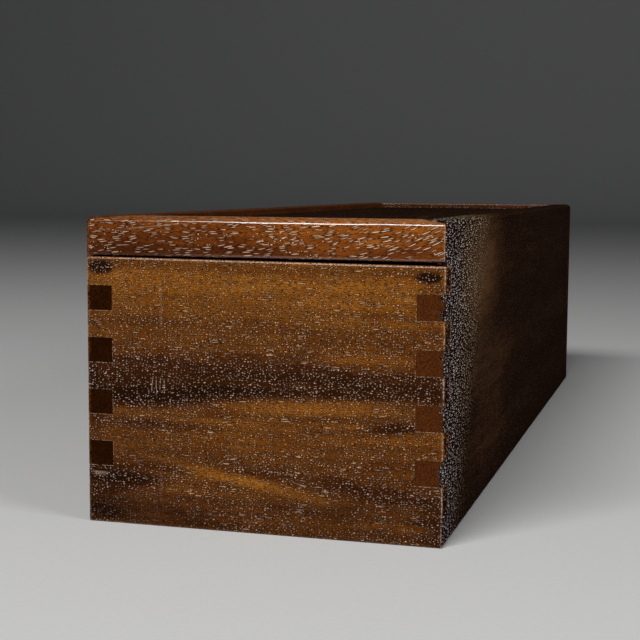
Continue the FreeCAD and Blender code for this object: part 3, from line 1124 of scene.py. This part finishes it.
@dataclass
class SlidingLid:
    """The lid board that runs in the side boards' grooves, and the cross rail at its front."""

    def panel(self) -> Wood:
        """Give the finish of the lid board, dark and even."""
        return Wood(
            name="lid_board_dark", tones=PLUM_TONES, end_tone=(0.030, 0.012, 0.004),
            cut=Cut(Axis.Y, Axis.X, Axis.Z, 66.2, (320.0, 18.0, 55.0)),
            bands=((0.0, 0.25), (0.4, 0.35), (1.0, 0.2)), band_span=73.4,
            pores=Pores(dust_dark=0.2), coat=0.0,
            low=(-36.7, -123.0, 60.2), high=(36.7, 127.7, 66.2))

    def rail(self) -> Wood:
        """Give the finish of the cross rail, orange brown with slanting pores."""
        return Wood(
            name="lid_rail_orange", tones=RAIL_TONES, end_tone=(0.060, 0.020, 0.007),
            cut=Cut(Axis.X, Axis.Z, Axis.Y, -131.0, (77.0, 21.0, 9.0)),
            # The last stops make the rail paler towards its top and palest on the crowned top: painted light
            # on the top face.
            bands=((0.0, 0.5), (0.88, 0.45), (0.93, 0.62), (0.985, 0.75), (1.0, 0.95)), band_span=68.0,
            streak=0.36, mottle=0.22, edge_coat=1.0, coat_ior=1.9, edge_dust_and_highlight=0.30,
            pores=Pores(
                dashes=Net(4.4, 0.46, 0.15, 0.12), dash_share=1.0, dash_wave=0.5, dash_from=0.36,
                dash_to=0.42, dash_rise=0.07, dash_bend=0.0045, dash_dark=1.0, dot_few=0.05, dot_many=0.05,
                filled=0.60, bare=(Zone(-26.0, 63.0, 18.0, 7.0, 0.0, 0.30),), rim_shade=1.0,
                dust_dark=1.0, dust_pale=1.0, dust=(0.80, 0.49, 0.32), dust_second=(0.92, 0.62, 0.42)),
            polish=Polish(-28.0, 2.0), scratches=(Scratch(-23.0, 66.1, 0.95, 0.75, 10.0, 0.40),),
            # Painted shade: the rail darker towards its left end.
            zones=(Zone(-40.0, 63.0, 46.0, 14.0, 0.0, -0.28),),
            low=(-39.8, -131.0, 59.5), high=(39.8, -119.0, 68.0))

    def build(self) -> list[bpy.types.Object]:
        """Dress the lid's two boards.

        Returns:
            Their objects.
        """
        panel = Board("lid_panel", self.panel()).dress()
        rail = CrossRail().build()
        rail.data.materials.append(WoodFinish(self.rail()).lay())
        return [panel, rail]


@dataclass(frozen=True)
class Lamp:
    """A soft lamp: where it hangs, what it shines at, its width and height, and its power in watts."""

    name: str
    place: Triple
    aim: Triple
    wide: float
    high: float
    power: float

    def hang(self) -> None:
        """Hang the lamp."""
        lamp = bpy.data.lights.new(self.name, "AREA")
        lamp.shape = "RECTANGLE"
        lamp.size = self.wide
        lamp.size_y = self.high
        lamp.energy = self.power
        hung = bpy.data.objects.new(self.name, lamp)
        hung.location = self.place
        hung.rotation_euler = (Vector(self.aim) - Vector(self.place)).to_track_quat("-Z", "Y").to_euler()
        bpy.context.scene.collection.objects.link(hung)


@dataclass
class Studio:
    """The pale floor with its rising back, the soft lamps and the camera."""

    sweep_wide: float = 5.0
    sweep_front: float = -2.6
    sweep_back: float = 3.6
    sweep_high: float = 3.0
    sweep_round: float = 1.2
    paper_dark: Colour = (0.60, 0.60, 0.59)
    paper_pale: Colour = (0.66, 0.66, 0.65)
    paper_rough: float = 0.9
    room_tone: Colour = (0.9, 0.95, 1.0)
    room_glow: float = 0.03
    camera_place: Triple = (0.08998, -0.40036, 0.07526)
    camera_turn: float = -15.869
    camera_dip: float = 5.7787
    camera_roll: float = 0.3698
    camera_lens: float = 75.56
    camera_film: float = 36.0
    camera_sight: tuple[float, float] = (0.01, 20.0)
    lamps: tuple[Lamp, ...] = (
        Lamp("key_lamp", (-0.20, -0.92, 0.86), (0.0, -0.12, 0.03), 0.70, 0.30, 12.5),
        Lamp("right_lamp", (0.85, -0.42, 0.40), (0.03, -0.08, 0.03), 0.40, 0.40, 4.0),
    )

    def sweep(self) -> bpy.types.Object:
        """Build the floor and the wall behind it as one surface.

        The surface runs level from the front to the back, turns up through a quarter circle and rises
        straight; each point of that path is carried sideways over the width.

        Returns:
            The sweep.
        """
        turn = np.linspace(0.0, np.pi / 2.0, 25)
        level = np.linspace(self.sweep_front, self.sweep_back - self.sweep_round, 9)
        rise = np.linspace(self.sweep_round, self.sweep_high, 7)[1:]
        arc_y = self.sweep_back - self.sweep_round + self.sweep_round * np.sin(turn[1:])
        arc_z = self.sweep_round - self.sweep_round * np.cos(turn[1:])
        path_y = np.concatenate([level, arc_y, np.full(rise.size, self.sweep_back)])
        path_z = np.concatenate([np.zeros(level.size), arc_z, rise])
        wide = np.linspace(-self.sweep_wide / 2.0, self.sweep_wide / 2.0, 11)
        across, step = np.meshgrid(wide, np.arange(path_y.size))
        points = np.stack([across, path_y[step], path_z[step]], axis=-1).reshape(-1, 3)
        rows, columns = np.meshgrid(np.arange(path_y.size - 1), np.arange(wide.size - 1), indexing="ij")
        corner = (rows * wide.size + columns).ravel()
        faces = np.stack([corner, corner + 1, corner + wide.size + 1, corner + wide.size], axis=-1)
        mesh = bpy.data.meshes.new("studio_sweep")
        mesh.from_pydata(points.tolist(), [], faces.tolist())
        mesh.polygons.foreach_set("use_smooth", np.ones(len(faces), bool))
        piece = bpy.data.objects.new("studio_sweep", mesh)
        bpy.context.scene.collection.objects.link(piece)
        mesh.materials.append(self.paper())
        return piece

    def paper(self) -> bpy.types.Material:
        """Give the pale matt paper of the floor.

        Returns:
            The material.
        """
        bench = FinishBench("studio_paper")
        place = bench.parts(bench.node("ShaderNodeTexCoord").outputs["Object"])
        tooth = bench.noise(place, Grain.TOOTH)
        colour = bench.tint(tooth, self.paper_dark, self.paper_pale)
        inputs = {"Base Color": colour, "Roughness": self.paper_rough}
        return bench.finish(bench.node("ShaderNodeBsdfPrincipled", inputs))

    def room(self) -> None:
        """Set the faint light of the room."""
        room = bpy.data.worlds.new("studio_room")
        room.use_nodes = True
        glow = room.node_tree.nodes["Background"].inputs
        glow["Color"].default_value = (*self.room_tone, 1.0)
        glow["Strength"].default_value = self.room_glow
        bpy.context.scene.world = room

    def camera(self) -> bpy.types.Object:
        """Set the camera where the photograph was taken from.

        The view turns by the yaw, dips by the pitch and leans by the roll.

        Returns:
            The camera.
        """
        turn, dip, roll = radians(self.camera_turn), radians(self.camera_dip), radians(self.camera_roll)
        ahead = Vector((sin(turn) * cos(dip), cos(turn) * cos(dip), -sin(dip)))
        right = Vector((cos(turn), -sin(turn), 0.0))
        above = right.cross(ahead)
        image_right = right * cos(roll) + above * sin(roll)
        image_up = above * cos(roll) - right * sin(roll)
        view = Matrix((image_right, image_up, -ahead)).transposed().to_4x4()
        view.translation = Vector(self.camera_place)
        lens = bpy.data.cameras.new("photo_camera")
        lens.lens = self.camera_lens
        lens.sensor_width = self.camera_film
        lens.clip_start, lens.clip_end = self.camera_sight
        held = bpy.data.objects.new("photo_camera", lens)
        held.matrix_world = view
        bpy.context.scene.collection.objects.link(held)
        bpy.context.scene.camera = held
        return held

    def build(self) -> None:
        """Set up the floor, the lamps and the camera."""
        for name in ("Cube", "Light", "Camera"):
            if name in bpy.data.objects:
                bpy.data.objects.remove(bpy.data.objects[name])
        self.sweep()
        for lamp in self.lamps:
            lamp.hang()
        self.room()
        self.camera()
        bpy.context.scene.view_settings.view_transform = "Standard"


def main() -> None:
    """Set up the studio, dress the box and its lid, and report each piece."""
    logging.basicConfig(level=logging.INFO, format="%(message)s")
    Studio().build()
    for part in (Carcase(), SlidingLid()):
        for piece in part.build():
            LOG.info("%s: %s", type(part).__name__, piece.name)


if __name__ == "__main__":
    main()
